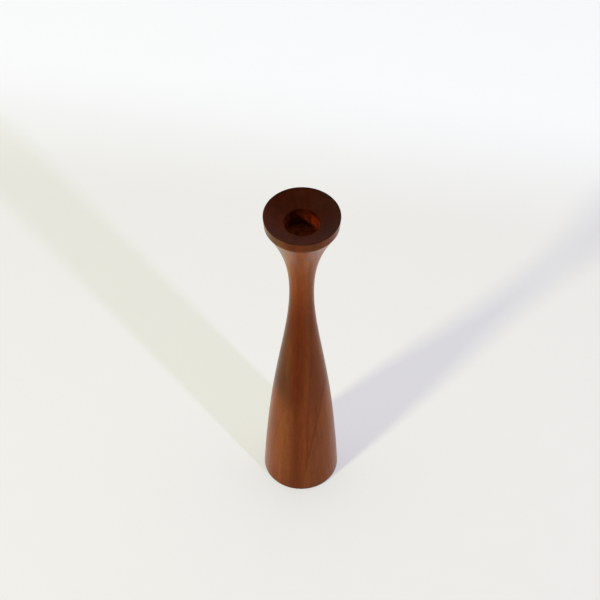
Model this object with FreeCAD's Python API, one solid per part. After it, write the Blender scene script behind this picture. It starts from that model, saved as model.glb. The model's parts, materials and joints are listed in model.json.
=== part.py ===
import FreeCAD, Part
import os

# Dip pen holder: a tall lathe-turned hardwood stand in the form of a candlestick.
#
# A swelling foot narrows to a slender neck and flares out again into a round head. The top of the head is
# dished, and a round blind socket in the middle of the dish holds a pen, a ferrule or a taper upright.
# Under the foot a steel slug sits in a drilled pocket, held up by one wood screw, and a felt pad covers it.
#
# Millimetres, +Z up. The origin is the centre of the felt's underside, on the surface the stand rests on.

V = FreeCAD.Vector

# Overall
TOTAL_HEIGHT = 250.3       # to the rim's corner, before it is eased
FOOT_RADIUS = 24.9
NECK_RADIUS = 7.8
NECK_HEIGHT = 183.0
ARRIS_RADIUS = 23.0        # the sharp edge where the flare meets the band
RIM_RADIUS = 23.6
BAND_HEIGHT = 7.5          # plain band between that edge and the rim

# The socket and the dish around it
SOCKET_RADIUS = 11.0       # a standard 22 mm taper bore
SOCKET_DEPTH = 13.0
DISH_DEPTH = 6.2
DISH_SAG = 0.45            # how far the dish hollows below a straight cone

# Slopes of the side, as change of radius for each millimetre of height
FOOT_SLOPE = -0.04
FLARE_SLOPE = 0.52

# Radii of the eased edges
FOOT_EDGE = 0.5
ARRIS_EDGE = 0.25
RIM_EDGE = 0.3
MOUTH_EDGE = 0.4

# Felt pad and ballast
PAD_THICKNESS = 1.0
PAD_RADIUS = 22.9
POCKET_RADIUS = 13.0       # a 26 mm drilled pocket
POCKET_DEPTH = 12.6
SLUG_CLEARANCE = 0.15
SLUG_HEIGHT = 12.0
SLUG_CHAMFER = 0.6
SLUG_HOLE_RADIUS = 2.2

# Countersunk wood screw, 4 mm
SCREW_RADIUS = 2.0
SCREW_CORE_RADIUS = 1.35
SCREW_HEAD_RADIUS = 4.0
SCREW_POINT = 3.0
THREAD_PITCH = 1.4
THREAD_TURNS = 7
SCREW_HOLE_DEPTH = 14.0
SLOT_WIDTH = 1.0
SLOT_DEPTH = 1.1
SLOT_ANGLE = 35            # degrees; where the screw happened to come tight

ARRIS_HEIGHT = TOTAL_HEIGHT - BAND_HEIGHT
MOUTH_HEIGHT = TOTAL_HEIGHT - DISH_DEPTH
SOCKET_FLOOR = MOUTH_HEIGHT - SOCKET_DEPTH
POCKET_TOP = PAD_THICKNESS + POCKET_DEPTH
SLUG_BOTTOM = POCKET_TOP - SLUG_HEIGHT

# The side of the stand from foot to arris: (height above the table, radius)
SIDE_STATIONS = [
    (PAD_THICKNESS, FOOT_RADIUS),
    (40.0, 22.6),
    (80.0, 19.0),
    (120.0, 13.8),
    (150.0, 9.8),
    (NECK_HEIGHT, NECK_RADIUS),
    (210.0, 10.6),
    (ARRIS_HEIGHT, ARRIS_RADIUS),
]


def at(radius, height):
    """A point on the half-plane that every turned piece is drawn in."""
    return V(radius, 0, height)


def lines(*points):
    """Straight edges from each point to the next."""
    return [Part.makeLine(a, b) for a, b in zip(points, points[1:])]


def turned(edges):
    """The solid that a closed outline sweeps in one turn about the Z axis."""
    outline = Part.Wire(Part.__sortEdges__(edges))
    return Part.Face(outline).revolve(V(0, 0, 0), V(0, 0, 1), 360)


def side_curve():
    """One smooth curve through the side stations, with the height as its parameter."""
    curve = Part.BSplineCurve()
    curve.interpolate(
        Points=[at(radius, height) for height, radius in SIDE_STATIONS],
        Parameters=[height for height, _ in SIDE_STATIONS],
        InitialTangent=at(FOOT_SLOPE, 1),
        FinalTangent=at(FLARE_SLOPE, 1),
    )
    return curve.toShape()


def dish_curve():
    """A shallow arc from the rim to the socket's mouth, hollowed below the straight line between them."""
    rim = at(RIM_RADIUS, TOTAL_HEIGHT)
    mouth = at(SOCKET_RADIUS, MOUTH_HEIGHT)
    run = rim - mouth
    into_wood = V(run.z, 0, -run.x).normalize()
    return Part.Arc(rim, (rim + mouth) * 0.5 + into_wood * DISH_SAG, mouth).toShape()


def eased(solid, radius, height, size):
    """The solid with its round edge of that radius, at that height, rounded over."""
    near = 0.05
    edges = [
        edge for edge in solid.Edges
        if isinstance(edge.Curve, Part.Circle)
        and abs(edge.Curve.Radius - radius) < near
        and abs(edge.Curve.Center.z - height) < near
    ]
    return solid.makeFillet(size, edges)


def turned_body():
    """The wooden body, turned from one long-grain blank and drilled from both ends."""
    screw_hole_top = POCKET_TOP + SCREW_HOLE_DEPTH
    band = lines(at(ARRIS_RADIUS, ARRIS_HEIGHT), at(RIM_RADIUS, TOTAL_HEIGHT))
    socket = lines(
        at(SOCKET_RADIUS, MOUTH_HEIGHT),
        at(SOCKET_RADIUS, SOCKET_FLOOR),
        at(0, SOCKET_FLOOR),
    )
    axis = lines(at(0, SOCKET_FLOOR), at(0, screw_hole_top))
    underside = lines(
        at(0, screw_hole_top),
        at(SCREW_RADIUS, screw_hole_top),
        at(SCREW_RADIUS, POCKET_TOP),
        at(POCKET_RADIUS, POCKET_TOP),
        at(POCKET_RADIUS, PAD_THICKNESS),
        at(FOOT_RADIUS, PAD_THICKNESS),
    )
    body = turned([side_curve()] + band + [dish_curve()] + socket + axis + underside)
    body = eased(body, FOOT_RADIUS, PAD_THICKNESS, FOOT_EDGE)
    body = eased(body, ARRIS_RADIUS, ARRIS_HEIGHT, ARRIS_EDGE)
    body = eased(body, RIM_RADIUS, TOTAL_HEIGHT, RIM_EDGE)
    return eased(body, SOCKET_RADIUS, MOUTH_HEIGHT, MOUTH_EDGE)


def ballast_slug():
    """A sawn and chamfered end of round steel bar, countersunk, pushed up to the top of the pocket."""
    radius = POCKET_RADIUS - SLUG_CLEARANCE
    countersink_top = SLUG_BOTTOM + SCREW_HEAD_RADIUS - SLUG_HOLE_RADIUS
    return turned(lines(
        at(SCREW_HEAD_RADIUS, SLUG_BOTTOM),
        at(radius - SLUG_CHAMFER, SLUG_BOTTOM),
        at(radius, SLUG_BOTTOM + SLUG_CHAMFER),
        at(radius, POCKET_TOP - SLUG_CHAMFER),
        at(radius - SLUG_CHAMFER, POCKET_TOP),
        at(SLUG_HOLE_RADIUS, POCKET_TOP),
        at(SLUG_HOLE_RADIUS, countersink_top),
        at(SCREW_HEAD_RADIUS, SLUG_BOTTOM),
    ))


def thread_profile():
    """The saw-tooth of the thread, drawn as separate ridges, and the screw's point."""
    points = []
    for turn in range(THREAD_TURNS):
        root = POCKET_TOP + turn * THREAD_PITCH
        points.append(at(SCREW_CORE_RADIUS, root))
        points.append(at(SCREW_RADIUS, root + THREAD_PITCH / 2))
    end = POCKET_TOP + THREAD_TURNS * THREAD_PITCH
    return points + [at(SCREW_CORE_RADIUS, end), at(0, end + SCREW_POINT)]


def ballast_screw():
    """The slotted countersunk wood screw, driven upwards with its head flush in the slug."""
    head = SCREW_HEAD_RADIUS - SCREW_RADIUS
    screw = turned(lines(
        at(0, SLUG_BOTTOM),
        at(SCREW_HEAD_RADIUS, SLUG_BOTTOM),
        at(SCREW_RADIUS, SLUG_BOTTOM + head),
        at(SCREW_RADIUS, POCKET_TOP - THREAD_PITCH / 2),
        *thread_profile(),
        at(0, SLUG_BOTTOM),
    ))
    corner = V(-SCREW_HEAD_RADIUS, -SLOT_WIDTH / 2, SLUG_BOTTOM)
    slot = Part.makeBox(2 * SCREW_HEAD_RADIUS, SLOT_WIDTH, SLOT_DEPTH, corner)
    slot.rotate(V(0, 0, 0), V(0, 0, 1), SLOT_ANGLE)
    return screw.cut(slot)


def felt_pad():
    """The felt disc glued under the foot, which hides the slug and stands on the table."""
    return Part.makeCylinder(PAD_RADIUS, PAD_THICKNESS)


os.makedirs("parts", exist_ok=True)
for make in (turned_body, ballast_slug, ballast_screw, felt_pad):
    piece = make()
    box = piece.BoundBox
    print(
        f"{make.__name__}: valid {piece.isValid()}, {len(piece.Solids)} solid, {piece.Volume / 1000:.2f} cm3,"
        f" radius {box.XMax:.2f}, z {box.ZMin:.2f} to {box.ZMax:.2f}"
    )
    piece.exportStep(os.path.join("parts", make.__name__ + ".step"))
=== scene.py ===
# %% [markdown]
# # A turned hardwood pen stand, built around its CAD frame
#
# The stand is modelled as four things: a body turned from one piece of red-brown hardwood, a felt
# disc under its foot, and, hidden behind the felt, a steel slug held up by one wood screw. The slug
# and the screw are a guess at what keeps so tall and narrow a stand upright. This lesson starts from
# the engineering model of those four pieces and gives each one its final surface.
#
# The first cell loads that model. It is the frame: its pieces are never moved or reshaped. Where a
# piece needs a finer surface, a new mesh is made in the same place and stands for the old one.

# %% Load the frame
import json
import math

import bpy
import bmesh
import numpy as np
from mathutils import Matrix, Vector


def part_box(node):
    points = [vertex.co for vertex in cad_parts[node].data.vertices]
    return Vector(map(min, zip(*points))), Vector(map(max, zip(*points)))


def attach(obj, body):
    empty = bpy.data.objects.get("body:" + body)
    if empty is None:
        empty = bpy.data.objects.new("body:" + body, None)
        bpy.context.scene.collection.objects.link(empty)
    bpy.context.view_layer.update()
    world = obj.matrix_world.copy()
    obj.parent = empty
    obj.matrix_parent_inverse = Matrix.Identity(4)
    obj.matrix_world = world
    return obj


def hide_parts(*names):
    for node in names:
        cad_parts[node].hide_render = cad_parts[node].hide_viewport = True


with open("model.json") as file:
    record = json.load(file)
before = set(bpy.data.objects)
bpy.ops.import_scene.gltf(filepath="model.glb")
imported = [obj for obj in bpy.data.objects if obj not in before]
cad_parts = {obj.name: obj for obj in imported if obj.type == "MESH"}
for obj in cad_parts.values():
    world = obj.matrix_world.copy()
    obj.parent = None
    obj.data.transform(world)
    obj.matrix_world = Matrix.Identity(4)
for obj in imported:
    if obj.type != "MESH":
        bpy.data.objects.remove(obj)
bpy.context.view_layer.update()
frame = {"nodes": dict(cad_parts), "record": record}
print("the frame holds", sorted(frame["nodes"]))

# %% [markdown]
# ## Sizes
#
# Everything is in metres, in the frame's own axes, so a new piece made to these sizes is already in
# the right place. Some sizes are read from the frame: those of the pad, the slug and the screw's
# head, and the socket's radius, which the record gives with its mount. The rest are the few driving
# dimensions of the turning.

# %% Read and set the sizes
MM = 0.001

body_low, body_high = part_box("turned_body")
pad_low, pad_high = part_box("felt_pad")
slug_low, slug_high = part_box("ballast_slug")
screw_low, screw_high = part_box("ballast_screw")
socket = next(m for m in frame["record"]["mounts"] if m["name"] == "socket")

SOCKET_RADIUS = socket["dims"]["r_mm"] * MM
SOCKET_FLOOR = 231.1 * MM
MOUTH_HEIGHT = 244.1 * MM
RIM_HEIGHT = 250.3 * MM
RIM_RADIUS = 23.6 * MM
ARRIS_HEIGHT = 242.8 * MM
ARRIS_RADIUS = 23.0 * MM
NECK_HEIGHT = 183.0 * MM
FOOT_RADIUS = 24.9 * MM
PAD_TOP = pad_high.z
PAD_RADIUS = pad_high.x
POCKET_RADIUS = 13.0 * MM
POCKET_TOP = slug_high.z
SLUG_RADIUS = slug_high.x
SCREW_HOLE_RADIUS = 2.0 * MM
SCREW_HOLE_TOP = 27.6 * MM

print(f"the body stands from {body_low.z / MM:.1f} to {body_high.z / MM:.1f} mm")
print(f"the pad is {2 * PAD_RADIUS / MM:.1f} mm across and {PAD_TOP / MM:.1f} mm thick")

# %% [markdown]
# ## The camera
#
# A camera goes in first, because every later choice is judged through it. It looks down at the
# stand from about 50 degrees, from 1.3 metres away, through a long lens, so the near head of the
# stand doesn't look huge beside its far foot.

# %% Place the camera
CAMERA_ELEVATION = math.radians(50.04)
CAMERA_ROLL = math.radians(0.187)
CAMERA_DISTANCE = 1.3138
CAMERA_AIM = Vector((-0.0010, 0.0, 0.1717))
CAMERA_LENS = 126.0

back = Vector((0.0, -math.cos(CAMERA_ELEVATION), math.sin(CAMERA_ELEVATION)))
camera_data = bpy.data.cameras.new("camera")
camera_data.lens = CAMERA_LENS
camera_data.sensor_width = 36.0
camera = bpy.data.objects.new("camera", camera_data)
bpy.context.scene.collection.objects.link(camera)
upright = (-back).to_track_quat("-Z", "Y").to_matrix().to_4x4()
camera.matrix_world = (
    Matrix.Translation(CAMERA_AIM + back * CAMERA_DISTANCE)
    @ upright
    @ Matrix.Rotation(CAMERA_ROLL, 4, "Z")
)
bpy.context.scene.camera = camera
print(f"the camera is {camera.location.z:.3f} m above the table")

# %% [markdown]
# ## A smooth outline through a few stations
#
# A turner checks a shape with calipers at a few heights and joins them by eye into one sweep. The
# same can be done with a cubic spline: a curve whose slope and bend never jump. The slopes at the
# two ends are given, and the slopes between them come from a small set of linear equations. A
# Bezier curve with hand-placed handles would also work, but then each handle is one more number to
# guess, and the curve would not match the drawing.

# %% A spline with clamped ends
SIDE_STATIONS = [
    (PAD_TOP, FOOT_RADIUS),
    (40.0 * MM, 22.6 * MM),
    (80.0 * MM, 19.0 * MM),
    (120.0 * MM, 13.8 * MM),
    (150.0 * MM, 9.8 * MM),
    (NECK_HEIGHT, 7.8 * MM),
    (210.0 * MM, 10.6 * MM),
    (ARRIS_HEIGHT, ARRIS_RADIUS),
]
FOOT_SLOPE = -0.04
FLARE_SLOPE = 0.52


def clamped_spline(stations, first_slope, last_slope):
    """The function height -> radius of the cubic spline through the stations."""
    x, y = np.array(stations).T
    gap = np.diff(x)
    rise = np.diff(y) / gap
    matrix = np.eye(len(x))
    right = np.zeros(len(x))
    right[0], right[-1] = first_slope, last_slope
    for i in range(1, len(x) - 1):
        matrix[i, i - 1:i + 2] = gap[i], 2 * (gap[i - 1] + gap[i]), gap[i - 1]
        right[i] = 3 * (gap[i] * rise[i - 1] + gap[i - 1] * rise[i])
    slope = np.linalg.solve(matrix, right)

    def radius_at(height):
        i = min(max(int(np.searchsorted(x, height)) - 1, 0), len(gap) - 1)
        t = (height - x[i]) / gap[i]
        bend = (slope[i] * (1 - t) - slope[i + 1] * t - rise[i] * (1 - 2 * t)) * gap[i]
        return (1 - t) * y[i] + t * y[i + 1] + t * (1 - t) * bend

    return radius_at


side_radius = clamped_spline(SIDE_STATIONS, FOOT_SLOPE, FLARE_SLOPE)
print(f"the neck is {2 * side_radius(NECK_HEIGHT) / MM:.1f} mm across")

# %% [markdown]
# ## Eased edges
#
# No edge on a sanded piece is a perfect corner. Each one is a small arc, and that arc is what
# catches the light as a thin line. The helper below rounds one corner of an outline. It is given
# the directions in which the outline arrives and leaves, so that it can round a corner between two
# curves as well as one between two straight lines.

# %% A helper that rounds a corner
def eased_corner(corner, arrive, leave, radius, steps=6):
    """Points of an arc that replaces a corner; arrive and leave are directions of travel."""
    corner, arrive, leave = Vector(corner), Vector(arrive).normalized(), Vector(leave).normalized()
    turn = arrive.angle(leave)
    setback = radius * math.tan(turn / 2)
    start = corner - arrive * setback
    side = (leave - arrive * arrive.dot(leave)).normalized()
    centre = start + side * radius
    points = []
    for i in range(steps + 1):
        angle = turn * i / steps
        spoke = arrive * math.sin(angle) - side * math.cos(angle)
        points.append(tuple(centre + spoke * radius))
    return points


def straight(start, end, steps):
    """Points along a straight line, without its two ends."""
    start, end = Vector(start), Vector(end)
    return [tuple(start.lerp(end, i / steps)) for i in range(1, steps)]


print("a rounded square corner has", len(eased_corner((0, 0), (1, 0), (0, 1), 1.0)), "points")

# %% [markdown]
# ## The outline of the body
#
# The outline is a list of points, each a radius and a height, that goes once around the solid: from
# the middle of the socket's floor up its wall, out over the dish to the rim, down the band, the
# flare, the neck and the foot, and back in along the underside through the slug's pocket and the
# screw's hole. Every visible edge is eased. The dish is an arc that hollows a little below a
# straight cone, the way a gouge leaves it.

# %% Draw the outline
MOUTH_EDGE = 0.4 * MM
RIM_EDGE = 0.3 * MM
ARRIS_EDGE = 0.25 * MM
FOOT_EDGE = 0.5 * MM
DISH_SAG = 0.45 * MM
SIDE_STEP = 1.0 * MM


def dish_points(steps):
    """The dish from the mouth out to the rim, and its slopes there, from the circle through them."""
    mouth, rim = Vector((SOCKET_RADIUS, MOUTH_HEIGHT)), Vector((RIM_RADIUS, RIM_HEIGHT))
    chord = rim - mouth
    radius = ((chord.length / 2) ** 2 + DISH_SAG ** 2) / (2 * DISH_SAG)
    out_of_wood = Vector((-chord.y, chord.x)).normalized()
    centre = (mouth + rim) / 2 + out_of_wood * (radius - DISH_SAG)
    half = math.asin(chord.length / 2 / radius)
    middle = math.atan2(-out_of_wood.y, -out_of_wood.x)
    points = []
    for i in range(steps + 1):
        angle = middle - half + 2 * half * i / steps
        points.append((centre.x + radius * math.cos(angle), centre.y + radius * math.sin(angle)))
    first = (-math.sin(middle - half), math.cos(middle - half))
    last = (-math.sin(middle + half), math.cos(middle + half))
    return points, first, last


def body_outline():
    """The closed outline of the wooden body, and the index where the outer side begins."""
    dish, dish_first, dish_last = dish_points(40)
    up, down = (0.0, 1.0), (0.0, -1.0)
    band_down = (ARRIS_RADIUS - RIM_RADIUS, ARRIS_HEIGHT - RIM_HEIGHT)
    points = [(0.0, SOCKET_FLOOR)]
    points += straight((0.0, SOCKET_FLOOR), (SOCKET_RADIUS, SOCKET_FLOOR), 16)
    points.append((SOCKET_RADIUS, SOCKET_FLOOR))
    points += straight((SOCKET_RADIUS, SOCKET_FLOOR), (SOCKET_RADIUS, MOUTH_HEIGHT - MOUTH_EDGE), 16)
    points += eased_corner((SOCKET_RADIUS, MOUTH_HEIGHT), up, dish_first, MOUTH_EDGE)
    points += dish[2:-2]
    rim = eased_corner((RIM_RADIUS, RIM_HEIGHT), dish_last, band_down, RIM_EDGE, 8)
    outer_side_starts = len(points) + 7
    points += rim
    points += straight(rim[-1], (ARRIS_RADIUS, ARRIS_HEIGHT + ARRIS_EDGE), 10)
    points += eased_corner((ARRIS_RADIUS, ARRIS_HEIGHT), band_down, (-FLARE_SLOPE, -1.0), ARRIS_EDGE)
    steps = round((ARRIS_HEIGHT - PAD_TOP - FOOT_EDGE) / SIDE_STEP)
    for height in np.linspace(ARRIS_HEIGHT - ARRIS_EDGE, PAD_TOP + FOOT_EDGE, steps):
        points.append((side_radius(height), height))
    points += eased_corner((FOOT_RADIUS, PAD_TOP), (-FOOT_SLOPE, -1.0), (-1.0, 0.0), FOOT_EDGE, 10)[1:]
    outer_side_ends = len(points) - 1
    underside = [
        (FOOT_RADIUS - FOOT_EDGE, PAD_TOP), (POCKET_RADIUS, PAD_TOP), (POCKET_RADIUS, POCKET_TOP),
        (SCREW_HOLE_RADIUS, POCKET_TOP), (SCREW_HOLE_RADIUS, SCREW_HOLE_TOP),
    ]
    for start, end, steps in zip(underside, underside[1:], (8, 10, 10, 10)):
        points += straight(start, end, steps) + [end]
    points.append((0.0, SCREW_HOLE_TOP))
    return points, outer_side_starts, outer_side_ends


outline, outer_side_starts, outer_side_ends = body_outline()
print(f"the outline has {len(outline)} points and reaches {max(h for _, h in outline) / MM:.2f} mm")

# %% [markdown]
# ## A lathe in code
#
# Blender can turn an outline into a solid with its Screw modifier or its Spin tool. Here the rings
# are written directly with bmesh. That is just as short, and it leaves a tidy grid of four-sided
# faces whose rows are known, so that a row of faces can be given its own material. Where the
# outline meets the axis, a fan of triangles closes the end.

# %% The lathe
ON_AXIS = 1e-9


def smooth_with_sharp_corners(mesh, degrees=32):
    """Shades a mesh smooth, and keeps as sharp the edges that turn by more than that angle."""
    mesh.polygons.foreach_set("use_smooth", [True] * len(mesh.polygons))
    mesh.set_sharp_from_angle(angle=math.radians(degrees))
    mesh.update()


def link(name, mesh):
    """A new object that shows the mesh."""
    piece = bpy.data.objects.new(name, mesh)
    bpy.context.scene.collection.objects.link(piece)
    return piece


def mesh_of(name, grid):
    """A new mesh with everything in the grid, which is used up."""
    mesh = bpy.data.meshes.new(name)
    grid.to_mesh(mesh)
    grid.free()
    return mesh


def ring_of(grid, radii, height):
    """A ring of points about Z, one for each radius, evenly spread."""
    ring = []
    for i, radius in enumerate(radii):
        angle = 2 * math.pi * i / len(radii)
        ring.append(grid.verts.new((radius * math.cos(angle), radius * math.sin(angle), height)))
    return ring


def skin(grid, a, b):
    """The faces between two rings. A ring of one point makes a fan of triangles."""
    count = max(len(a), len(b))
    faces = []
    for i in range(count):
        j = (i + 1) % count
        corners = [a[i % len(a)], a[j % len(a)], b[j % len(b)], b[i % len(b)]]
        faces.append(grid.faces.new(list(dict.fromkeys(corners))))
    return faces


def lathe(name, outline, segments, material_of_row=lambda row: 0):
    """Turns an outline of (radius, height) points about Z. Ends on the axis are closed."""
    grid = bmesh.new()
    rings = []
    for radius, height in outline:
        rings.append(ring_of(grid, [0.0] if radius < ON_AXIS else [radius] * segments, height))
    for row, (a, b) in enumerate(zip(rings, rings[1:])):
        for face in skin(grid, a, b):
            face.material_index = material_of_row(row)
    bmesh.ops.recalc_face_normals(grid, faces=grid.faces)
    mesh = mesh_of(name, grid)
    smooth_with_sharp_corners(mesh)
    return link(name, mesh)


# %% Turn the body
BODY_SEGMENTS = 192


def wood_face(row):
    """Material 0 for the oiled outer side, 1 for the dish, the socket and the underside."""
    return 0 if outer_side_starts <= row < outer_side_ends else 1


turned_wood = lathe("turned_wood", outline, BODY_SEGMENTS, wood_face)
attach(turned_wood, "root")
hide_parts("turned_body")
print(f"the turned body has {len(turned_wood.data.polygons)} faces")

# %% [markdown]
# ## The felt pad
#
# Felt is a mat of tangled wool, pressed flat. Punched into a disc, it keeps a slightly ragged edge,
# and its faces are never quite flat. A plain cylinder would look like plastic, so the disc is a
# grid of rings whose points are nudged by noise: a little across the faces, and more at the edge.
# It is cut from a flat sheet.

# %% Make the felt disc
from mathutils import noise

FELT_SEGMENTS = 160
FELT_RAGGED = 0.22 * MM
FELT_UNEVEN = 0.05 * MM


def felt_disc():
    """A closed disc of felt with soft, ragged edges, between the table and the foot."""
    edge = min(0.3 * MM, PAD_TOP / 3)
    rows = [(PAD_RADIUS * i / 40, PAD_TOP) for i in range(40)]
    rows += eased_corner((PAD_RADIUS, PAD_TOP), (1, 0), (0, -1), edge, 4)
    rows += eased_corner((PAD_RADIUS, 0.0), (0, -1), (-1, 0), edge, 4)
    rows += [(PAD_RADIUS * i / 40, 0.0) for i in reversed(range(40))]
    disc = lathe("felt_disc", rows, FELT_SEGMENTS)
    for vertex in disc.data.vertices:
        place = vertex.co / MM
        out = Vector((vertex.co.x, vertex.co.y))
        if out.length > PAD_RADIUS * 0.97:
            ragged = noise.fractal(place * 0.9, 0.9, 2.0, 4) * FELT_RAGGED - FELT_RAGGED
            out = out * (1 + ragged / out.length)
            vertex.co.x, vertex.co.y = out
        uneven = abs(noise.noise(place * 0.7)) * FELT_UNEVEN
        vertex.co.z += uneven if vertex.co.z < PAD_TOP / 2 else -uneven
    disc.data.update()
    return disc


felt = felt_disc()
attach(felt, "root")
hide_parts("felt_pad")
print(f"the felt disc is {felt.dimensions.x / MM:.1f} mm across")

# %% [markdown]
# Loose fibres make the difference between felt and card. Each one here is a thin curved tube, one or
# two millimetres long, that lies under the disc or strays out of its edge. Blender's hair would look the
# same in a render, but it is not a mesh, and it would be lost when the model is saved elsewhere.

# %% Add loose fibres
FIBRES = 1100
FIBRE_RADIUS = 0.022 * MM
FIBRE_POINTS = 6


def fibre(grid, start, heading, length, curl):
    """One thin three-sided tube that bends as it goes, added to the grid."""
    ring_before = None
    place = Vector(start)
    for i in range(FIBRE_POINTS):
        along = Vector((math.cos(heading), math.sin(heading), 0.0))
        side = Vector((-along.y, along.x, 0.0))
        thin = FIBRE_RADIUS * (1.0 - 0.7 * i / (FIBRE_POINTS - 1))
        ring = []
        for k in range(3):
            angle = 2 * math.pi * k / 3
            spoke = side * math.cos(angle) + Vector((0, 0, 1)) * math.sin(angle)
            ring.append(grid.verts.new(place + spoke * thin))
        if ring_before:
            skin(grid, ring_before, ring)
        else:
            grid.faces.new(ring[::-1])
        ring_before = ring
        place = place + along * (length / (FIBRE_POINTS - 1))
        heading += curl
    grid.faces.new(ring_before)


def felt_fibres():
    """Fibres scattered over the underside and the edge of the disc, always in the same places."""
    random = np.random.default_rng(7)
    grid = bmesh.new()
    for i in range(FIBRES):
        angle = random.uniform(0, 2 * math.pi)
        if i % 2:
            radius = PAD_RADIUS - random.uniform(0.2, 0.7) * MM
            height = random.uniform(0.1, 0.9) * PAD_TOP
            heading = angle + random.uniform(-1.2, 1.2)
            length = random.uniform(0.5, 1.1) * MM
        else:
            radius = PAD_RADIUS * 0.94 * math.sqrt(random.uniform(0, 1))
            height = FIBRE_RADIUS * 1.2
            heading = random.uniform(0, 2 * math.pi)
            length = random.uniform(1.0, 2.4) * MM
        start = (radius * math.cos(angle), radius * math.sin(angle), height)
        fibre(grid, start, heading, length, random.uniform(-0.45, 0.45))
    mesh = mesh_of("felt_fibres", grid)
    smooth_with_sharp_corners(mesh, 80)
    return link("felt_fibres", mesh)


fibres = felt_fibres()
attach(fibres, "root")
print(f"{FIBRES} fibres make {len(fibres.data.polygons)} faces")

# %% [markdown]
# ## The ballast screw
#
# The frame's screw has its thread drawn as separate rings, which is enough for weighing and
# fitting. A real thread is one ridge that climbs as it winds. On a grid that has one column for
# each angle and one row for each small step of height, the radius depends on both: the ridge moves
# up by one pitch in one turn. The slot is then cut with a Boolean modifier, and the modifier is
# applied, so that the finished mesh holds the slot as real faces.

# %% Make the screw
SCREW_RADIUS = 2.0 * MM
SCREW_CORE = 1.35 * MM
SCREW_HEAD_RADIUS = screw_high.x
THREAD_PITCH = 1.4 * MM
THREAD_END = 23.4 * MM
SCREW_COLUMNS = 48
SLOT_WIDTH = 1.0 * MM
SLOT_DEPTH = 1.1 * MM
SLOT_ANGLE = math.radians(35)


def screw_radius(height, turn):
    """The screw's radius at a height above the table, where turn is the angle as a share of a turn."""
    head_top = screw_low.z + SCREW_HEAD_RADIUS - SCREW_RADIUS
    if height < head_top:
        return SCREW_HEAD_RADIUS - (height - screw_low.z)
    if height < POCKET_TOP - THREAD_PITCH:
        return SCREW_RADIUS
    ridge = 1 - abs(2 * ((height / THREAD_PITCH - turn) % 1.0) - 1)
    ridge = min(1.0, ridge * 1.3)
    run_in = min(1.0, (height - POCKET_TOP + THREAD_PITCH) / THREAD_PITCH)
    threaded = SCREW_CORE + (SCREW_RADIUS - SCREW_CORE) * (ridge * run_in + (1 - run_in))
    taper = min(1.0, max(0.0, (screw_high.z - height) / (screw_high.z - THREAD_END)))
    return threaded * taper


def wood_screw():
    """A slotted countersunk screw, head down, with one continuous thread."""
    grid = bmesh.new()
    heights = [screw_low.z, screw_low.z + 0.25 * MM]
    heights += list(np.arange(screw_low.z + 0.5 * MM, screw_high.z - 0.05 * MM, 0.12 * MM))
    rings = []
    for height in heights:
        radii = [screw_radius(height, i / SCREW_COLUMNS) for i in range(SCREW_COLUMNS)]
        rings.append(ring_of(grid, radii, height))
    tip = ring_of(grid, [0.0], screw_high.z)
    for a, b in zip(rings, rings[1:] + [tip]):
        skin(grid, a, b)
    grid.faces.new(rings[0][::-1])
    return link("wood_screw", mesh_of("wood_screw", grid))


def cut_slot(screw):
    """Cuts the driver's slot across the head, and leaves the result in the mesh."""
    block = bmesh.new()
    bmesh.ops.create_cube(block, size=1.0)
    cutter = link("slot_cutter", mesh_of("slot_cutter", block))
    cutter.matrix_world = (
        Matrix.Translation((0, 0, screw_low.z))
        @ Matrix.Rotation(SLOT_ANGLE, 4, "Z")
        @ Matrix.Diagonal((3 * SCREW_HEAD_RADIUS, SLOT_WIDTH, 2 * SLOT_DEPTH, 1))
    )
    cut = screw.modifiers.new("slot", "BOOLEAN")
    cut.operation = "DIFFERENCE"
    cut.solver = "EXACT"
    cut.object = cutter
    bpy.context.view_layer.update()
    cut_screw = screw.evaluated_get(bpy.context.evaluated_depsgraph_get())
    finished = bpy.data.meshes.new_from_object(cut_screw)
    screw.modifiers.clear()
    screw.data = finished
    bpy.data.objects.remove(cutter)
    smooth_with_sharp_corners(screw.data, 28)


screw = wood_screw()
cut_slot(screw)
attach(screw, "root")
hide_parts("ballast_screw")
print(f"the screw has {len(screw.data.polygons)} faces")

# %% [markdown]
# ## Small helpers for node trees
#
# Materials in Blender are trees of nodes. Written out in full, each node takes several lines. These
# helpers add one node, or one sum, in one line, so that a material reads like a recipe. An input
# may be given a plain value or another node's output. They work on the tree that was begun last.

# %% Helpers for nodes
current = {}


def begin(tree):
    """The helpers write into this tree until another one is begun."""
    current["tree"] = tree
    return tree.nodes


def fill(node, inputs):
    """Sets a node's inputs, by name or number, to values or to other nodes' outputs."""
    for name, value in inputs.items():
        if isinstance(value, bpy.types.NodeSocket):
            current["tree"].links.new(value, node.inputs[name])
        else:
            node.inputs[name].default_value = value


def put(kind, inputs=None, **settings):
    """Adds a node with its settings and inputs."""
    node = current["tree"].nodes.new(kind)
    for name, value in settings.items():
        setattr(node, name, value)
    fill(node, inputs or {})
    return node


def calc(operation, a, b=0.0, clamp=False):
    """The output of one Math node."""
    return put("ShaderNodeMath", {0: a, 1: b}, operation=operation, use_clamp=clamp).outputs[0]


def times(a, b):
    return calc("MULTIPLY", a, b)


def plus(a, b):
    return calc("ADD", a, b)


def minus(a, b):
    return calc("SUBTRACT", a, b)


def length(a, b):
    """The long side of a right-angled triangle."""
    return calc("SQRT", plus(times(a, a), times(b, b)))


def spread(value, low, high, to_low=0.0, to_high=1.0, smooth=True):
    """Maps low..high to to_low..to_high, and holds the ends."""
    kind = "SMOOTHSTEP" if smooth else "LINEAR"
    inputs = {"Value": value, "From Min": low, "From Max": high, "To Min": to_low, "To Max": to_high}
    return put("ShaderNodeMapRange", inputs, interpolation_type=kind).outputs[0]


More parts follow.
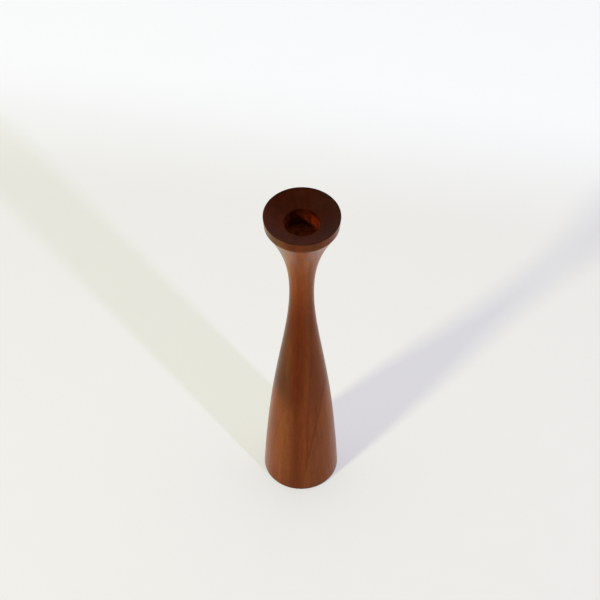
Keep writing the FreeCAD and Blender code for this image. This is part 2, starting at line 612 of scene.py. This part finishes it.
def blend(share, a, b, mode="MIX"):
    """Mixes two colours; share is how much of the second one shows."""
    node = put("ShaderNodeMix", {0: share, 6: a, 7: b}, data_type="RGBA", blend_type=mode)
    return node.outputs[2]


def tinted(colour, tint):
    """A colour multiplied by another."""
    return blend(1.0, colour, tint, "MULTIPLY")


def grey(value):
    """A value as a colour."""
    return put("ShaderNodeCombineColor", {0: value, 1: value, 2: value}).outputs[0]


def where():
    """Each point's place in the frame."""
    return put("ShaderNodeTexCoord").outputs["Object"]


def parts(place):
    """The X, Y and Z of a place."""
    return put("ShaderNodeSeparateXYZ", {0: place}).outputs


def stretched(place, sizes):
    """A place multiplied by three sizes, for textures that are longer one way than another."""
    return put("ShaderNodeVectorMath", {0: place, 1: sizes}, operation="MULTIPLY").outputs[0]


def grain_noise(place, scale, detail=3.0, roughness=0.5, distortion=0.0):
    """The value of a noise texture at a place, around 0.5."""
    inputs = {"Vector": place, "Scale": scale, "Detail": detail, "Roughness": roughness,
              "Distortion": distortion}
    return put("ShaderNodeTexNoise", inputs).outputs["Fac"]


def new_group(name, inputs, outputs):
    """A shader node group: inputs are {name: default} and outputs {name: kind}."""
    kinds = {"value": "NodeSocketFloat", "colour": "NodeSocketColor"}
    group = bpy.data.node_groups.new(name, "ShaderNodeTree")
    for label, default in inputs.items():
        kind = "colour" if isinstance(default, tuple) else "value"
        made = group.interface.new_socket(name=label, in_out="INPUT", socket_type=kinds[kind])
        made.default_value = default
    for label, kind in outputs.items():
        group.interface.new_socket(name=label, in_out="OUTPUT", socket_type=kinds[kind])
    nodes = begin(group)
    return group, nodes.new("NodeGroupInput").outputs, nodes.new("NodeGroupOutput")


def use_group(group, inputs=None):
    """Adds a group and returns its outputs."""
    return put("ShaderNodeGroup", inputs, node_tree=group).outputs


def sockets(group):
    """The names of a group's inputs and outputs, for printing."""
    return [s.name for s in group.interface.items_tree]


def new_material(name):
    """An empty material and its Principled shader, already joined to the output."""
    material = bpy.data.materials.new(name)
    material.use_nodes = True
    begin(material.node_tree).clear()
    shader = put("ShaderNodeBsdfPrincipled")
    put("ShaderNodeOutputMaterial", {"Surface": shader.outputs[0]})
    return material, shader


def bumped(height, strength, distance):
    """A normal that follows a height; distance is the height's full size in metres."""
    inputs = {"Strength": strength, "Distance": distance, "Height": height}
    return put("ShaderNodeBump", inputs).outputs["Normal"]


print("the node helpers are ready")

# %% [markdown]
# ## The figure of the wood
#
# Wood is a solid stack of growth rings, seen wherever the tool has cut it. So its pattern is best
# worked out in space, not painted on the surface: then the rings run through the arris, over the
# rim and across the dish. Blender's Object coordinates give each point's place in the blank.
#
# The blank was sawn well away from the middle of the tree, so its rings are nearly flat sheets that
# run from front to back. These are laid over each other:
# - growth rings, each a slow darkening that ends sharply at the late wood
# - a dark streak of heartwood that runs the length of the blank, a little weaker in the foot; it is
#   partly painted shade down the middle of the front
# - two flank tones, partly the wood's own and partly painted: on the left, pale low down, a painted
#   reflection of the white table, and brown higher up, painted shade; on the right, browner above the
#   foot, painted shade, and a paler sheet, a painted reflection of the table, that slopes across the
#   foot behind a thin dark line, the painted reflection of a shadow's edge
# - stripes and fibres, broad and fine, all long ones, that give the sides their silky lines
# - pores, which are short dark dashes on the sides and dots on the end grain
#
# The wood is also painted paler and yellower towards the head, a painted light for the glow of the
# white table on the flare, and in front it is painted paler on the left, a painted highlight of the
# warm lamp, and a little darker on the right. It is darker again on the band.

# %% Group: growth rings
LATE_WOOD_RISES = (0.25, 0.93)
LATE_WOOD_ENDS = (0.94, 1.0)
WANDER = 0.010
RIPPLE = 0.0012
TRUNK_LEAN = 0.012


def growth_rings_group():
    group, given, result = new_group(
        "growth_rings",
        {"Ring Width": 0.003, "Pith Distance": 0.07, "Waviness": 1.0},
        {"Late Wood": "value", "Ring Tone": "value", "Across": "value"},
    )
    place = where()
    axes = parts(place)
    slow = grain_noise(stretched(place, (22, 22, 5)), 1.0, 2.0)
    quick = grain_noise(stretched(place, (160, 160, 20)), 1.0, 2.0)
    wave = plus(times(minus(slow, 0.5), WANDER), times(minus(quick, 0.5), RIPPLE))
    x = plus(plus(axes["X"], given["Pith Distance"]), times(axes["Z"], TRUNK_LEAN))
    across = plus(length(x, axes["Y"]), times(wave, given["Waviness"]))
    ring = calc("DIVIDE", across, given["Ring Width"])
    share = calc("FRACT", ring)
    rise = spread(share, *LATE_WOOD_RISES)
    fall = spread(share, *LATE_WOOD_ENDS, 1.0, 0.0)
    number = {"W": calc("FLOOR", ring)}
    tone = put("ShaderNodeTexWhiteNoise", number, noise_dimensions="1D").outputs["Value"]
    fill(result, {"Late Wood": times(rise, fall), "Ring Tone": tone,
                  "Across": minus(across, given["Pith Distance"])})
    return group


growth_rings = growth_rings_group()
print("growth rings:", sockets(growth_rings))


# %% Group: pores
def pores_group():
    group, given, result = new_group(
        "pores",
        {"Cell Size": 0.0005, "Length": 9.0, "Width": 0.14, "Share": 0.5},
        {"Pores": "value"},
    )
    per_metre = calc("DIVIDE", 1.0, given["Cell Size"])
    along = calc("DIVIDE", per_metre, given["Length"])
    sizes = put("ShaderNodeCombineXYZ", {"X": per_metre, "Y": per_metre, "Z": along}).outputs[0]
    scaled = stretched(where(), sizes)
    cells = put("ShaderNodeTexVoronoi", {"Vector": scaled, "Scale": 1.0}, feature="F1").outputs
    lot = put("ShaderNodeSeparateColor", {0: cells["Color"]}).outputs[0]
    open_here = calc("LESS_THAN", lot, given["Share"])
    soft_edge = times(given["Width"], 1.6)
    near = spread(cells["Distance"], given["Width"], soft_edge, 1.0, 0.0, False)
    fill(result, {"Pores": times(near, open_here)})
    return group


pores = pores_group()
print("pores:", sockets(pores))


# %% Group: the whole figure
# Each pair is a range of height, of distance across or of noise in which one tone gives way to another.
LOW_DOWN = (0.112, 0.084)
# The flank tones are partly the wood's own and partly painted: a painted reflection of the table low on
# the left, painted shade higher up on both sides.
FLANK_LOW_DOWN, FLANK_SLANT, FLANK_SHIFT = (0.104, 0.078), 0.5, 0.0030
LEFT_FLANK, FLANK_IN_FOOT = (-0.0015, -0.0095), (0.0, 0.030, 0.35, 0.92)
FAR_SIDE = (0.004, 0.010)
# On the right, a paler sheet and a thin dark line: a painted reflection of the table and of a shadow's
# edge.
REFLECTION_SLOPE = 0.12
REFLECTED_EDGE_RISES, REFLECTED_EDGE_ENDS, REFLECTED_SHEET = (0.0038, 0.0052), (0.0060, 0.0053), (0.0053, 0.0062)
REFLECTED_EDGE_FADES = (0.012, 0.045)
UNCHANGED = (1, 1, 1, 1)
# Painted light: paler and yellower towards the head; in front, paler on the left, and a little darker on
# the right, which is painted shade.
TOWARDS_HEAD, HEAD_PAINTED_LIGHT = (0.150, 0.230), (1.67, 1.96, 1.81, 1)
LEFT_TO_RIGHT, LEFT_PAINTED_LIGHT, RIGHT_PAINTED_SHADE = (-0.012, 0.012), (1.30, 1.69, 1.84, 1), (1.03, 0.96, 0.92, 1)
SIDES_START, FRONT_ONLY = (0.150, 0.200), (0.012, 0.003)
AT_BAND, BAND_TINT = (0.239, 0.245), (0.48, 0.41, 0.43, 1)
PORE_TINT = (0.35, 0.28, 0.25, 1)


def flanks_and_painted_reflections(given, colour, across, height, uneven, low_down):
    """Lays the flank tones over the heartwood: partly wood, partly painted reflections and painted
    shade.
    """
    slanting = plus(uneven, times(across, FLANK_SLANT))
    low = spread(slanting, *FLANK_LOW_DOWN)
    place = minus(across, times(low, FLANK_SHIFT))
    left = times(spread(place, *LEFT_FLANK), spread(height, *FLANK_IN_FOOT))
    colour = blend(left, colour, blend(low, given["Brown Flank And Shade"], given["Pale Flank And Reflection"]))
    right = times(spread(across, *FAR_SIDE), spread(low_down, 0.0, 1.0, 0.4, 0.0))
    colour = blend(right, colour, given["Brown Flank And Shade"])
    sheet = minus(across, times(height, REFLECTION_SLOPE))
    line = times(spread(sheet, *REFLECTED_EDGE_RISES), spread(sheet, *REFLECTED_EDGE_ENDS))
    line = times(line, spread(height, *REFLECTED_EDGE_FADES))
    colour = blend(times(line, 0.35), colour, given["Heart Streak And Shade"])
    return blend(times(spread(sheet, *REFLECTED_SHEET), 0.65), colour, given["Pale Flank And Reflection"])


def painted_light_and_band_tone(colour, across, height, depth):
    """Paler and yellower towards the head and, in front, paler on the left: painted light; a little
    darker on the right: painted shade; then darker on the band.
    """
    head = blend(spread(height, *TOWARDS_HEAD), UNCHANGED, HEAD_PAINTED_LIGHT)
    side = blend(spread(across, *LEFT_TO_RIGHT), LEFT_PAINTED_LIGHT, RIGHT_PAINTED_SHADE)
    in_front = times(spread(height, *SIDES_START), spread(depth, *FRONT_ONLY))
    side = blend(in_front, UNCHANGED, side)
    band = blend(spread(height, *AT_BAND), UNCHANGED, BAND_TINT)
    for tint in (head, side, band):
        colour = tinted(colour, tint)
    return colour


def wood_figure_group():
    brown = (0.1, 0.03, 0.01, 1)
    group, given, result = new_group(
        "wood_figure",
        {"Early Wood": brown, "Late Wood": brown, "Heart Streak And Shade": brown, "Pale Flank And Reflection": brown,
         "Brown Flank And Shade": brown, "Streak Place": 0.0, "Streak Half Width": 0.005, "Streak Strength": 0.6},
        {"Colour": "colour", "Relief": "value", "Pores": "value"},
    )
    place = where()
    axes = parts(place)
    height = axes["Z"]
    rings = use_group(growth_rings, {"Ring Width": 0.0042, "Pith Distance": 0.075, "Waviness": 0.45})
    across = rings["Across"]
    holes = use_group(pores)["Pores"]
    broad = grain_noise(stretched(place, (170, 170, 9)), 1.0, 3.0, 0.55)
    stripes = grain_noise(stretched(place, (620, 620, 22)), 1.0, 3.0, 0.65)
    silk = grain_noise(stretched(place, (3600, 3600, 70)), 1.0, 3.0, 0.6)

    late = times(rings["Late Wood"], spread(rings["Ring Tone"], 0.0, 1.0, 0.15, 0.6))
    colour = blend(late, given["Early Wood"], given["Late Wood"])
    # The dark streak is partly the heartwood's colour and partly painted shade down the middle of the
    # front.
    off = calc("ABSOLUTE", minus(across, given["Streak Place"]))
    half = given["Streak Half Width"]
    streak = spread(off, times(half, 1.7), times(half, 0.3))
    uneven = plus(height, times(broad, 0.02))
    low_down = spread(uneven, *LOW_DOWN)
    streak = times(streak, given["Streak Strength"])
    streak = times(streak, spread(low_down, 0.0, 1.0, 1.0, 0.7))
    colour = blend(streak, colour, given["Heart Streak And Shade"])
    colour = flanks_and_painted_reflections(given, colour, across, height, uneven, low_down)

    tone = times(spread(broad, 0.25, 0.75, 0.84, 1.16, False),
                 spread(silk, 0.2, 0.8, 0.85, 1.15, False))
    tone = times(tone, spread(stripes, 0.25, 0.75, 0.84, 1.16, False))
    colour = tinted(colour, grey(tone))
    colour = painted_light_and_band_tone(colour, across, height, axes["Y"])
    colour = blend(times(holes, 0.35), colour, tinted(colour, PORE_TINT))
    relief = plus(times(silk, 0.35), times(rings["Late Wood"], 0.2))
    relief = minus(relief, times(holes, 0.3))
    fill(result, {"Colour": colour, "Relief": relief, "Pores": holes})
    return group


wood_figure = wood_figure_group()
print("the figure:", sockets(wood_figure))

# %% [markdown]
# ## Wear, tool lines and dust
#
# Three effects turn up on more than one material, so each is one group. Worn edges: on a turned thing
# every edge is a circle, so wear is the distance from that circle, broken up by noise. Tool lines:
# a lathe leaves faint rings, which are rows of equal radius on a face and of equal height on a side.
# Dust: it settles on whatever faces up, as a thin film with a few specks in it.

# %% Group: worn edge
def worn_edge_group():
    group, given, result = new_group(
        "worn_edge",
        {"Radius": 0.02, "Height": 0.0, "Reach": 0.001, "Broken": 0.5},
        {"Wear": "value"},
    )
    place = where()
    axes = parts(place)
    out = minus(length(axes["X"], axes["Y"]), given["Radius"])
    gap = length(out, minus(axes["Z"], given["Height"]))
    near = spread(gap, given["Reach"], 0.0)
    patches = spread(grain_noise(place, 260.0, 4.0, 0.6), 0.35, 0.65)
    kept = minus(1.0, times(patches, given["Broken"]))
    fill(result, {"Wear": times(near, kept)})
    return group


worn_edge = worn_edge_group()
print("worn edge:", sockets(worn_edge))


# %% Group: tool lines
def tool_lines_group():
    group, given, result = new_group(
        "tool_lines", {"Pitch": 0.0006, "Along Height": 1.0}, {"Lines": "value"},
    )
    place = where()
    axes = parts(place)
    by_height = times(axes["Z"], given["Along Height"])
    by_radius = times(length(axes["X"], axes["Y"]), minus(1.0, given["Along Height"]))
    step = calc("DIVIDE", plus(by_height, by_radius), given["Pitch"])
    wander = grain_noise(place, 45.0, 2.0)
    step = plus(step, times(wander, 1.5))
    inputs = {"W": step, "Scale": 1.0, "Detail": 3.0}
    fill(result, {"Lines": put("ShaderNodeTexNoise", inputs, noise_dimensions="1D").outputs["Fac"]})
    return group


tool_lines = tool_lines_group()
print("tool lines:", sockets(tool_lines))


# %% Group: settled dust
FACING_UP = (0.35, 0.95)
SPECK_EDGE = (0.12, 0.24)
NO_SPECK_BELOW = 0.82


def settled_dust_group():
    group, given, result = new_group(
        "settled_dust", {"Amount": 0.2, "Speck Size": 0.0006}, {"Dust": "value"},
    )
    coordinates = put("ShaderNodeTexCoord").outputs
    facing_up = spread(parts(coordinates["Normal"])["Z"], *FACING_UP)
    film = spread(grain_noise(coordinates["Object"], 120.0, 4.0, 0.6), 0.35, 0.75)
    per_metre = calc("DIVIDE", 1.0, given["Speck Size"])
    specks = put("ShaderNodeTexVoronoi", {"Vector": coordinates["Object"], "Scale": per_metre}).outputs
    lot = put("ShaderNodeSeparateColor", {0: specks["Color"]}).outputs[0]
    near = spread(specks["Distance"], *SPECK_EDGE, 1.0, 0.0)
    dots = times(near, calc("GREATER_THAN", lot, NO_SPECK_BELOW))
    both = calc("ADD", times(film, 0.5), dots, True)
    fill(result, {"Dust": times(times(both, facing_up), given["Amount"])})
    return group


settled_dust = settled_dust_group()
print("settled dust:", sockets(settled_dust))

# %% [markdown]
# ## The wood's two finishes
#
# The outside was sanded along the grain and rubbed with oil, so it is satin: it has a soft sheen at
# grazing angles and stays deep and red where it is seen square on. The dish and the socket are end
# grain. They drank the oil, so they are far darker, and their open pores scatter what little they
# reflect. One shader can't be both, because how strongly it reflects is a single number for the
# whole surface. So the body has two materials, which share the figure and meet at the rim and under
# the foot. Part of the end grain's darkness is painted shade: the dish is painted darker and bluer on
# its right and darker in front, and the crest of the rim near black at the back. The socket was
# reamed across the grain, so its wall is torn in patches. It is darker at its mouth, its left wall is
# painted in shade, and lower down its right wall is painted lighter, a painted light where the warm
# lamp shines in.

# %% Oiled side grain
WOOD_TONES = {
    "Early Wood": (0.180, 0.043, 0.0100, 1),
    "Late Wood": (0.120, 0.025, 0.0042, 1),
    "Heart Streak And Shade": (0.110, 0.018, 0.0018, 1),
    "Pale Flank And Reflection": (0.203, 0.058, 0.0140, 1),
    "Brown Flank And Shade": (0.096, 0.0315, 0.0082, 1),
    "Streak Place": -0.0005,
    "Streak Half Width": 0.0052,
    "Streak Strength": 0.85,
}
WORN_WOOD = (0.24, 0.085, 0.030, 1)
FOOT_PAINTED_SHADE = (0.055, 0.028, 0.016, 1)
GRAZING, SHEEN_THERE = (0.50, 0.95), 0.36


def worn_edges(places, reach, broken):
    """The wear at several circles together."""
    total = 0.0
    for radius, height in places:
        circle = {"Radius": radius, "Height": height, "Reach": reach, "Broken": broken}
        total = calc("MAXIMUM", use_group(worn_edge, circle)["Wear"], total)
    return total


def oiled_side_grain():
    material, shader = new_material("oiled_side_grain")
    figure = use_group(wood_figure, WOOD_TONES)
    edges = [(ARRIS_RADIUS, ARRIS_HEIGHT), (FOOT_RADIUS, PAD_TOP + 2 * MM)]
    wear = worn_edges(edges, 1.1 * MM, 0.9)
    colour = blend(times(wear, 0.15), figure["Colour"], WORN_WOOD)
    # Painted shade: the foot's lowest edge is painted dark, where the gap under it is in shade.
    foot_shade = worn_edges([(FOOT_RADIUS, PAD_TOP)], 2.6 * MM, 0.3)
    colour = blend(times(foot_shade, 0.80), colour, FOOT_PAINTED_SHADE)
    handled = spread(grain_noise(where(), 38.0, 3.0, 0.6), 0.3, 0.7, 0.26, 0.36)
    rough = plus(handled, times(figure["Pores"], 0.25))
    lines = use_group(tool_lines, {"Pitch": 0.5 * MM, "Along Height": 1.0})["Lines"]
    height = plus(figure["Relief"], times(lines, 0.10))
    slant = put("ShaderNodeLayerWeight", {"Blend": 0.5}).outputs["Facing"]
    fill(shader, {
        "Base Color": colour,
        "Roughness": minus(rough, times(wear, 0.08)),
        "Normal": bumped(height, 0.35, 0.05 * MM),
        "Coat Weight": spread(slant, *GRAZING, 0.0, SHEEN_THERE),
        "Coat Roughness": 0.25,
        "IOR": 1.45,
        "Specular IOR Level": 0.05,
    })
    return material


side_grain = oiled_side_grain()
print("made", side_grain.name)


# %% Dry end grain
END_TONES = {**WOOD_TONES, "Brown Flank And Shade": (0.158, 0.026, 0.0044, 1), "Streak Strength": 0.3}
# The socket's wall is darker at its mouth; lower down, its right wall is painted light and its left wall
# painted shade.
SOCKET_MOUTH, SOCKET_DEEP_PAINTED_LIGHT = (0.33, 0.10, 0.10, 1), (0.66, 0.31, 0.25, 1)
SOCKET_LEFT_PAINTED_SHADE, SOCKET_BOTTOM = (0.36, 0.19, 0.12, 1), (0.42, 0.26, 0.12, 1)
TORN_DARK, TORN_LIGHT = (0.55, 0.50, 0.50, 1), (1.45, 1.55, 1.60, 1)
# The dish is painted darker and bluer on its right, and a little darker in front: painted shade.
DISH_LEFT, DISH_RIGHT_PAINTED_SHADE = (0.315, 0.225, 0.225, 1), (0.21, 0.18, 0.26, 1)
DISH_FRONT_PAINTED_SHADE = (0.86, 0.86, 0.84, 1)
FAR_RIM_PAINTED_SHADE = (0.008, 0.004, 0.003, 1)


def socket_tone_and_painted_light(place, axes):
    """How much darker the reamed socket is: darker at its mouth, painted light low on the right, painted
    shade on the left.
    """
    deep = spread(axes["Z"], MOUTH_HEIGHT - 1 * MM, MOUTH_HEIGHT - 8 * MM)
    wall = blend(deep, SOCKET_MOUTH, SOCKET_DEEP_PAINTED_LIGHT)
    wall = blend(spread(axes["X"], 8 * MM, -3 * MM), wall, SOCKET_LEFT_PAINTED_SHADE)
    on_floor = calc("LESS_THAN", axes["Z"], SOCKET_FLOOR + 0.2 * MM)
    torn = spread(grain_noise(place, 270.0, 2.5, 0.55), 0.32, 0.68)
    return tinted(blend(on_floor, wall, SOCKET_BOTTOM), blend(torn, TORN_DARK, TORN_LIGHT))


def dry_end_grain():
    material, shader = new_material("dry_end_grain")
    figure = use_group(wood_figure, END_TONES)
    place = where()
    axes = parts(place)
    below_mouth = spread(axes["Z"], MOUTH_HEIGHT - 0.2 * MM, MOUTH_HEIGHT - 0.9 * MM)
    in_socket = times(below_mouth, calc("GREATER_THAN", axes["Z"], 100 * MM))
    # The end grain's darkness: partly the oil it drank, partly painted shade on the right and in front.
    soaked_and_shaded = blend(spread(axes["X"], 2 * MM, 18 * MM), DISH_LEFT, DISH_RIGHT_PAINTED_SHADE)
    in_front = spread(axes["Y"], -3 * MM, -12 * MM)
    soaked_and_shaded = tinted(soaked_and_shaded, blend(in_front, UNCHANGED, DISH_FRONT_PAINTED_SHADE))
    soaked_and_shaded = blend(in_socket, soaked_and_shaded, socket_tone_and_painted_light(place, axes))
    colour = tinted(figure["Colour"], soaked_and_shaded)
    dust = use_group(settled_dust, {"Amount": 0.02, "Speck Size": 0.5 * MM})["Dust"]
    colour = blend(dust, colour, (0.30, 0.27, 0.24, 1))
    # Painted shade: the crest of the rim is painted near black towards the back, a painted dark
    # reflection.
    far_rim_shade = worn_edges([(RIM_RADIUS - 0.3 * MM, RIM_HEIGHT)], 1.4 * MM, 0.3)
    towards_back = plus(axes["Y"], times(axes["X"], 0.3))
    far_rim_shade = times(far_rim_shade, spread(towards_back, -2 * MM, 12 * MM, 0.0, 0.85))
    lines = use_group(tool_lines, {"Pitch": 0.55 * MM, "Along Height": 0.0})["Lines"]
    height = plus(figure["Relief"], times(lines, 0.6))
    fill(shader, {
        "Base Color": blend(far_rim_shade, colour, FAR_RIM_PAINTED_SHADE),
        "Roughness": plus(times(figure["Pores"], 0.2), 0.55),
        "Normal": bumped(height, 0.5, 0.08 * MM),
        "IOR": 1.45,
        "Specular IOR Level": 0.035,
    })
    return material


end_grain = dry_end_grain()
turned_wood.data.materials.append(side_grain)
turned_wood.data.materials.append(end_grain)
print("made", end_grain.name)

# %% [markdown]
# ## Felt
#
# Pressed wool is matt, with a faint halo where its fibres catch light from behind. The Principled
# shader's sheen is made for that. The colour wanders between clumps of wool, and a fine noise
# stands for the tangle, which is far too small to model fibre by fibre over the whole disc.

# %% Pressed felt
WOOL_DARK, WOOL_LIGHT = (0.030, 0.024, 0.020, 1), (0.060, 0.048, 0.040, 1)
LOOSE_WOOL, FELT_DUST = (0.095, 0.080, 0.068, 1), (0.35, 0.33, 0.30, 1)


def pressed_felt():
    material, shader = new_material("pressed_felt")
    place = where()
    clumps = grain_noise(place, 420.0, 4.0, 0.65, 0.4)
    tangle = grain_noise(place, 5200.0, 3.0, 0.7, 1.2)
    colour = blend(spread(clumps, 0.3, 0.7), WOOL_DARK, WOOL_LIGHT)
    loose = times(spread(tangle, 0.45, 0.75), 0.4)
    colour = blend(loose, colour, LOOSE_WOOL)
    dust = use_group(settled_dust, {"Amount": 0.3, "Speck Size": 0.8 * MM})["Dust"]
    height = plus(clumps, times(tangle, 0.6))
    fill(shader, {
        "Base Color": blend(dust, colour, FELT_DUST),
        "Roughness": spread(clumps, 0.3, 0.7, 0.88, 1.0),
        "Normal": bumped(height, 0.8, 0.15 * MM),
        "Sheen Weight": 0.35,
        "Sheen Roughness": 0.6,
        "Specular IOR Level": 0.1,
    })
    return material


wool = pressed_felt()
felt.data.materials.append(wool)
fibres.data.materials.append(wool)
print("made", wool.name)

# %% [markdown]
# ## Steel
#
# The slug is a cut end of bar: tool lines round its side, a dull film of oxide, and brighter edges
# where the chamfer was touched up. The screw is zinc plated, so it is paler and smoother, with the
# plating worn through on the corners of its head.

# %% Sawn bar and zinc plate
STEEL_DUST = (0.25, 0.18, 0.13, 1)


def bare_steel(name, film, metal, edges, reach, pitch, roughness):
    """A metal with tool lines, an uneven film of oxide or plating, and brighter worn edges."""
    material, shader = new_material(name)
    blotches = grain_noise(where(), 190.0, 5.0, 0.62, 0.5)
    lines = use_group(tool_lines, {"Pitch": pitch, "Along Height": 0.7})["Lines"]
    wear = worn_edges(edges, reach, 0.6)
    colour = blend(spread(blotches, 0.35, 0.68), metal, film)
    colour = blend(wear, colour, metal)
    rough = plus(times(blotches, 0.25), roughness)
    dust = use_group(settled_dust, {"Amount": 0.25, "Speck Size": 0.4 * MM})["Dust"]
    fill(shader, {
        "Base Color": blend(dust, colour, STEEL_DUST),
        "Roughness": minus(rough, times(wear, 0.12)),
        "Normal": bumped(lines, 0.4, 0.02 * MM),
        "Metallic": minus(1.0, times(dust, 0.8)),
    })
    return material


sawn_bar = bare_steel(
    "sawn_bar", (0.17, 0.15, 0.135, 1), (0.46, 0.45, 0.43, 1),
    [(SLUG_RADIUS, slug_low.z), (SLUG_RADIUS, slug_high.z), (SCREW_HEAD_RADIUS, slug_low.z)],
    1.2 * MM, 0.22 * MM, 0.30,
)
zinc_plate = bare_steel(
    "zinc_plate", (0.50, 0.50, 0.47, 1), (0.68, 0.67, 0.64, 1),
    [(SCREW_HEAD_RADIUS, screw_low.z)], 0.5 * MM, 0.12 * MM, 0.20,
)
for slot in frame["nodes"]["ballast_slug"].material_slots:
    slot.material = sawn_bar
screw.data.materials.append(zinc_plate)
print("made", sawn_bar.name, "and", zinc_plate.name)

# %% [markdown]
# ## The table
#
# The stand is on a sheet of white paper. The sheet is one large face, and nothing about it belongs
# to the object. A real sheet would start to curve up at the back and be a little brighter there.
# This one is flat, and a soft change of tone stands for the curve.
#
# That change of tone is painted light: the far part of the paper is painted brighter, and the near
# part a little darker, a painted shade. Most of the paper's brightness is painted light as well: it
# glows by emission, though it is no lamp. That keeps the paper white right up to the foot, where a
# plain sheet would go grey. Seen from below the sheet is clear, and it also lets through any ray that
# is under half a millimetre long: those come from the felt that lies on it, and without them the
# felt's underside could not be looked at.

# %% Lay the paper
PAPER_HALF = 3.0
PAPER_NEAR = (0.703, 0.699, 0.689, 1)
PAPER_FAR = (0.812, 0.828, 0.852, 1)
PAPER_PAINTED_GLOW = 0.61


def white_paper():
    material, shader = new_material("white_paper")
    place = where()
    axes = parts(place)
    # Painted light: the far part of the paper is brighter. Painted shade: the near part is a little
    # darker.
    far_painted_light = spread(plus(axes["Y"], times(axes["X"], 0.144)), 0.22, 0.38)
    mottle = grain_noise(place, 30.0, 5.0, 0.6)
    tone = times(spread(mottle, 0.3, 0.7, 0.992, 1.0), spread(axes["Y"], -0.40, 0.05, 0.94, 1.0))
    colour = tinted(blend(far_painted_light, PAPER_NEAR, PAPER_FAR), grey(tone))
    # Painted light: most of the paper's brightness is emission, so it stays white right up to the foot.
    fill(shader, {
        "Base Color": tinted(colour, (1 - PAPER_PAINTED_GLOW,) * 3 + (1,)),
        "Emission Color": colour,
        "Emission Strength": PAPER_PAINTED_GLOW,
        "Roughness": spread(mottle, 0.3, 0.7, 0.80, 0.95),
        "Specular IOR Level": 0.1,
    })
    from_below = put("ShaderNodeNewGeometry").outputs["Backfacing"]
    ray_length = put("ShaderNodeLightPath").outputs["Ray Length"]
    from_felt = calc("LESS_THAN", ray_length, 0.5 * MM)
    see_through = calc("MAXIMUM", from_below, from_felt)
    clear = put("ShaderNodeBsdfTransparent").outputs[0]
    choice = put("ShaderNodeMixShader", {0: see_through, 1: shader.outputs[0], 2: clear})
    fill(current["tree"].get_output_node("ALL"), {"Surface": choice.outputs[0]})
    return material


corner_places = [(x * PAPER_HALF, y * PAPER_HALF, 0) for x, y in ((-1, -1), (1, -1), (1, 1), (-1, 1))]
paper_mesh = bpy.data.meshes.new("paper")
paper_mesh.from_pydata(corner_places, [], [(0, 1, 2, 3)])
paper = link("paper", paper_mesh)
paper_mesh.materials.append(white_paper())
print(f"the paper is {2 * PAPER_HALF:.0f} m wide")

# %% [markdown]
# ## Light
#
# Most of the light is a white glow from all round, which the world gives. It is brighter near the
# horizon than overhead, as in a white room with windows, and much darker in front, where
# somebody leans over the stand to look at it. That is why the dish, which sees only the ceiling,
# stays dark. Below the table it is dim, so the felt looks as dark from below as it really is.
#
# Two soft lamps stand in front: a warm one high on the left and a cool one, very low, on the right.
# Each throws one long shadow away from itself, and the two shadows make a wide V behind the stand.
# Area lamps are used because the size of a lamp sets how soft its shadow's edge is. Both are three
# or four metres away, so that they are nearly as strong at the end of a shadow as at the stand.
#
# Each lamp is there twice, once for the table and once for the stand, with its own strength. Light
# linking does that. A lamp as low as the cool one has to be very strong to leave a shadow on a flat
# sheet, and the same strength would flood the upright wood.

# %% Set the lights
WORLD_STRENGTH = 1.96
WORLD_COLOUR = (1.0, 0.998, 0.976, 1)
WARM_FROM, WARM_UP = (-0.727, -0.686), math.radians(38.5)
WARM_FROM_SIDE, WARM_LOWER = (-0.85, -0.53), math.radians(36)
WARM_SIZE, WARM_COLOUR = (0.27, 0.27), (0.995, 1.0, 0.615)
COOL_FROM, COOL_UP = (0.63, -0.777), math.radians(6.5)
COOL_SIZE, COOL_COLOUR = (0.20, 0.50), (0.60, 0.56, 1.0)


def only_for(pieces, name):
    """A collection of pieces; a lamp that is linked to it lights those pieces and no others."""
    group = bpy.data.collections.new(name)
    for piece in pieces:
        group.objects.link(piece)
    return group


def area_light(name, towards, elevation, distance, size, strength, colour, lit):
    """A lamp that faces the stand. strength is the light that falls on a surface facing it."""
    data = bpy.data.lights.new(name, "AREA")
    data.shape = "RECTANGLE"
    data.size, data.size_y = size
    data.energy = strength * math.pi * distance ** 2
    data.color = colour
    lamp = bpy.data.objects.new(name, data)
    lamp.visible_camera = False
    lamp.light_linking.receiver_collection = lit
    bpy.context.scene.collection.objects.link(lamp)
    flat = Vector((towards[0], towards[1], 0)).normalized() * math.cos(elevation)
    direction = flat + Vector((0, 0, math.sin(elevation)))
    lamp.location = direction * distance
    lamp.rotation_mode = "QUATERNION"
    lamp.rotation_quaternion = (-direction).to_track_quat("-Z", "Y")
    return lamp


def studio_glow():
    """A world that is bright at the horizon, dim overhead and dimmer in front."""
    world = bpy.data.worlds.new("studio_glow")
    world.use_nodes = True
    nodes = begin(world.node_tree)
    direction = put("ShaderNodeTexCoord").outputs["Generated"]
    axes = parts(direction)
    height = spread(axes["Z"], 0.10, 0.85, 1.30, 0.28)
    front = spread(axes["Y"], -0.80, 0.20, 0.10, 1.0)
    below = spread(axes["Z"], -0.35, -0.12, 0.35, 1.0)
    glow = times(times(height, front), below)
    fill(nodes["Background"], {"Color": WORLD_COLOUR, "Strength": times(glow, WORLD_STRENGTH)})
    return world


table = only_for([paper], "table")
stand = only_for([turned_wood, felt, fibres, screw, frame["nodes"]["ballast_slug"]], "stand")
area_light("warm_on_table", WARM_FROM, WARM_UP, 3.0, WARM_SIZE, 3.15, WARM_COLOUR, table)
area_light("warm_on_stand", WARM_FROM_SIDE, WARM_LOWER, 3.0, WARM_SIZE, 1.5, WARM_COLOUR, stand)
area_light("cool_on_table", COOL_FROM, COOL_UP, 4.0, COOL_SIZE, 11.6, COOL_COLOUR, table)
area_light("cool_on_stand", COOL_FROM, COOL_UP, 4.0, COOL_SIZE, 0.5, COOL_COLOUR, stand)
bpy.context.scene.world = studio_glow()
bpy.context.scene.view_settings.view_transform = "Standard"
